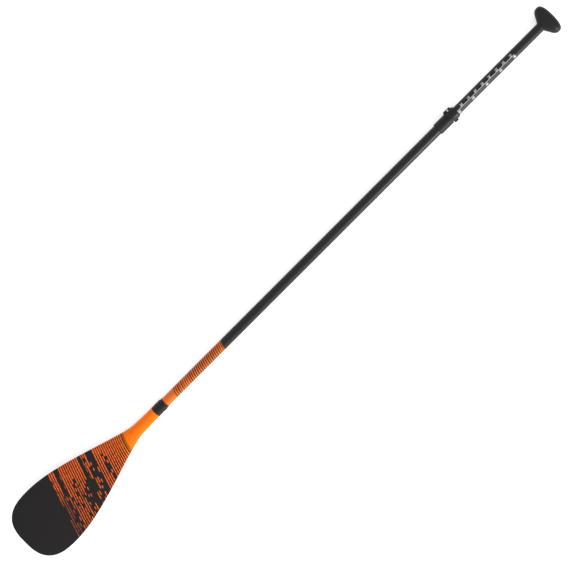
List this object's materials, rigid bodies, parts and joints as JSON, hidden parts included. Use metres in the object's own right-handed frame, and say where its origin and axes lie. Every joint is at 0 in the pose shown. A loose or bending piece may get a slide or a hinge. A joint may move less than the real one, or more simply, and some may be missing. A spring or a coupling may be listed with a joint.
{
  "type": "adjustable single blade paddle",
  "caption": "Adjustable stand-up paddle: canted teardrop blade on a snap-button spigot, tubular shaft with a cam lever clamp, and a T-grip on a sliding upper tube.",
  "frame": {"origin": "on the surface that the paddle lies on, under the middle of its length and width, with the length scale set to 2.00 m", "axes": "+X along the shaft towards the grip, +Z out of the decorated face, +Y towards the clamp's ears"},
  "size_m": [1.9994, 0.1916, 0.0758],
  "materials": {
    "blade_print": "satin",
    "foam": "matte",
    "carbon": "satin",
    "shaft_print": "satin",
    "black_nylon": "matte",
    "grip_nylon": "satin",
    "acetal": "satin",
    "steel": "satin"
  },
  "bodies": {
    "main_shaft": {"main_tube": "shaft_print", "joint_collar": "black_nylon", "clamp_sleeve": "black_nylon", "clamp_band": "black_nylon", "tension_bolt": "steel", "cam_washer": "steel", "lever_barrel_nut": "steel"},
    "blade": {"blade_front_skin": "blade_print", "blade_back_skin": "blade_print", "blade_foam_core": "foam", "blade_ferrule": "carbon", "ferrule_plug": "foam", "snap_spring": "steel"},
    "button": {"snap_button": "steel"},
    "lever": {"clamp_lever": "black_nylon"},
    "guide": {"guide_bush": "acetal"},
    "upper_shaft": {"upper_end_plug": "black_nylon", "upper_tube": "carbon", "grip_insert": "black_nylon", "t_grip_front_shell": "grip_nylon", "t_grip_back_shell": "grip_nylon"}
  },
  "joints": [
    {"name": "blade_pull", "type": "slide", "parent": "main_shaft", "child": "blade", "axis": [-1, 0, 0], "range_m": [0, 0.14]},
    {"name": "button_press", "type": "slide", "parent": "blade", "child": "button", "axis": [0, 1, 0], "range_m": [0, 0.0042], "stiffness_N_per_m": 900, "springref_m": -0.002, "deforming": ["snap_spring"]},
    {"name": "length_slide", "type": "slide", "parent": "main_shaft", "child": "guide", "axis": [1, 0, 0], "range_m": [-0.2, 0.2]},
    {"name": "handle_turn", "type": "hinge", "parent": "guide", "child": "upper_shaft", "pos_m": [0.32, 0, 0.0198], "axis": [1, 0, 0], "continuous": true},
    {"name": "lever_open", "type": "hinge", "parent": "main_shaft", "child": "lever", "pos_m": [0.6349, 0.0175, 0.006], "axis": [1, 0, 0], "range_deg": [0, 165]}
  ]
}
